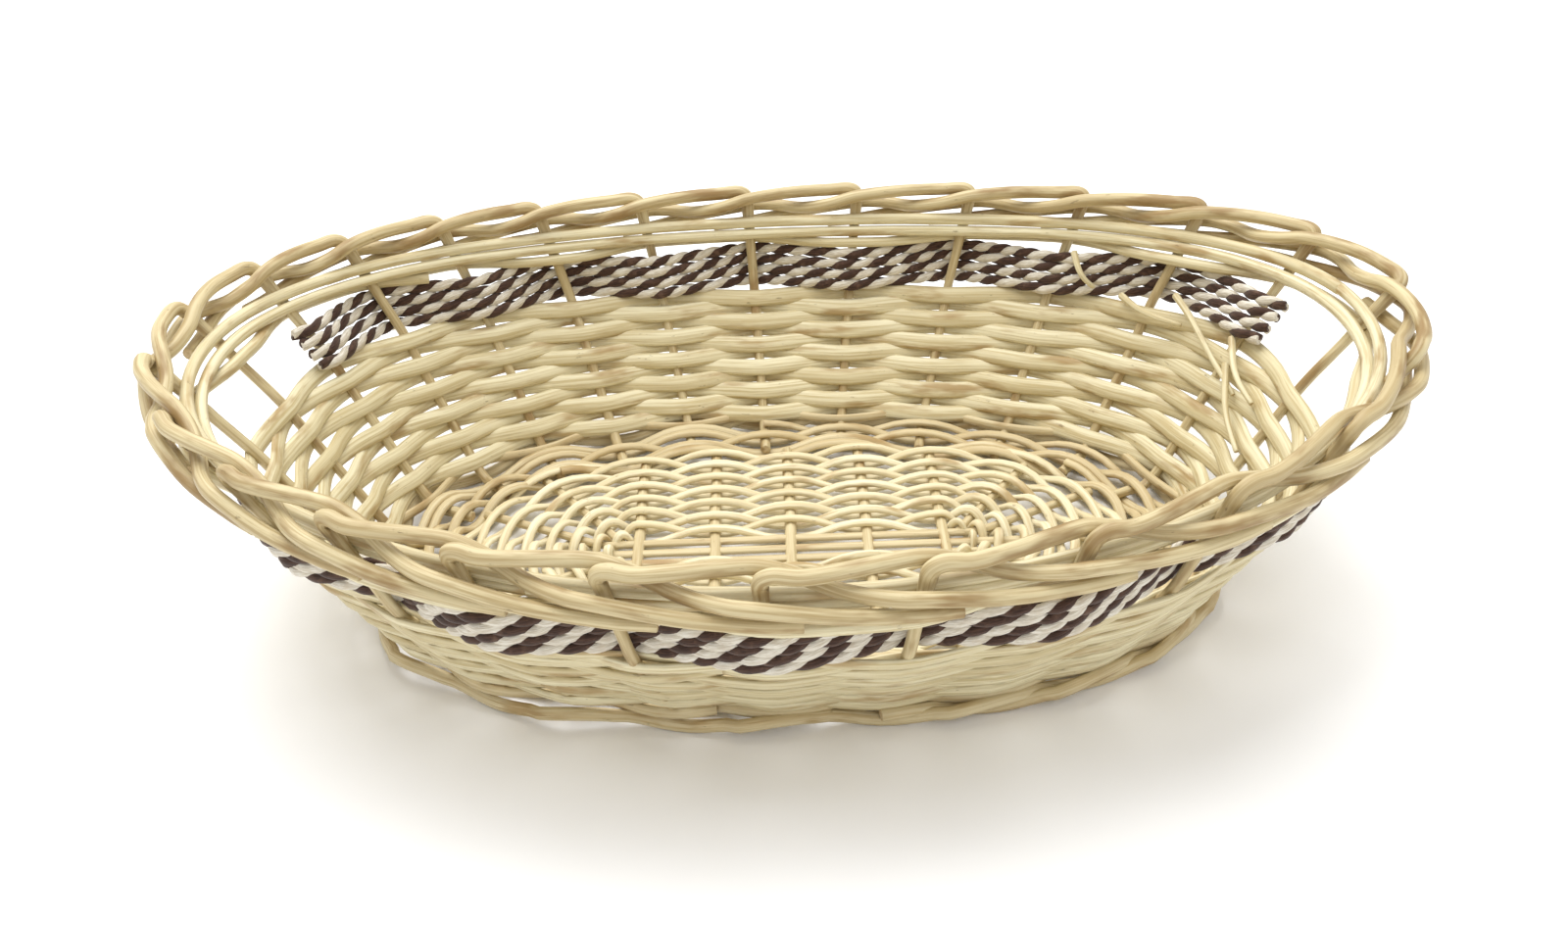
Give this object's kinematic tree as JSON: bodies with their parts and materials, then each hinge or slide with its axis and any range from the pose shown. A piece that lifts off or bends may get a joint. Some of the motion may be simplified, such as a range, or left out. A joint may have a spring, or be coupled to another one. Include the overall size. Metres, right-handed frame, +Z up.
{
  "type": "woven oval basket",
  "caption": "Shallow oval willow basket woven on upright stakes, with a rolled border, an open band threaded with two-tone rope and open hand holes at both ends.",
  "frame": {"origin": "middle of the ground under the base", "axes": "+X along the basket's length, +Y across it to the back, +Z up"},
  "size_m": [0.4466, 0.293, 0.1108],
  "materials": {
    "base_rod": "matt peeled willow, straw coloured",
    "stake_rod": "satin peeled willow, cream with tan streaks",
    "foot_rod": "satin peeled willow, tan",
    "weaver_rod": "satin peeled willow, pale straw",
    "two_tone_rope": "twisted cord, cream and dark brown"
  },
  "bodies": {
    "root": {"base_mat": "base_rod", "base_cross_stick_1": "base_rod", "base_cross_stick_2": "base_rod", "base_cross_stick_3": "base_rod", "base_cross_stick_4": "base_rod", "base_cross_stick_5": "base_rod", "base_long_stick_front": "base_rod", "base_long_stick_middle": "base_rod", "base_long_stick_back": "base_rod", "stake_01": "stake_rod", "stake_02": "stake_rod", "stake_03": "stake_rod", "stake_04": "stake_rod", "stake_05": "stake_rod", "stake_06": "stake_rod", "stake_07": "stake_rod", "stake_08": "stake_rod", "stake_09": "stake_rod", "stake_10": "stake_rod", "stake_11": "stake_rod", "stake_12": "stake_rod", "stake_13": "stake_rod", "stake_14": "stake_rod", "stake_15": "stake_rod", "stake_16": "stake_rod", "stake_17": "stake_rod", "stake_18": "stake_rod", "stake_19": "stake_rod", "stake_20": "stake_rod", "stake_21": "stake_rod", "stake_22": "stake_rod", "stake_23": "stake_rod", "stake_24": "stake_rod", "stake_25": "stake_rod", "foot_ring_lower": "foot_rod", "foot_ring_upper": "foot_rod", "weave_row_01": "weaver_rod", "weave_row_02": "weaver_rod", "weave_row_03": "weaver_rod", "weave_row_04": "weaver_rod", "weave_row_05": "weaver_rod", "weave_row_06": "weaver_rod", "weave_row_07": "weaver_rod", "weave_row_08": "weaver_rod", "weave_row_09": "weaver_rod", "weave_row_10": "weaver_rod", "weave_row_11": "weaver_rod", "rim_row": "weaver_rod", "rope_back_1": "two_tone_rope", "rope_back_2": "two_tone_rope", "rope_back_3": "two_tone_rope", "rope_back_4": "two_tone_rope", "rope_front_1": "two_tone_rope", "rope_front_2": "two_tone_rope", "rope_front_3": "two_tone_rope", "rope_front_4": "two_tone_rope"}
  },
  "joints": []
}
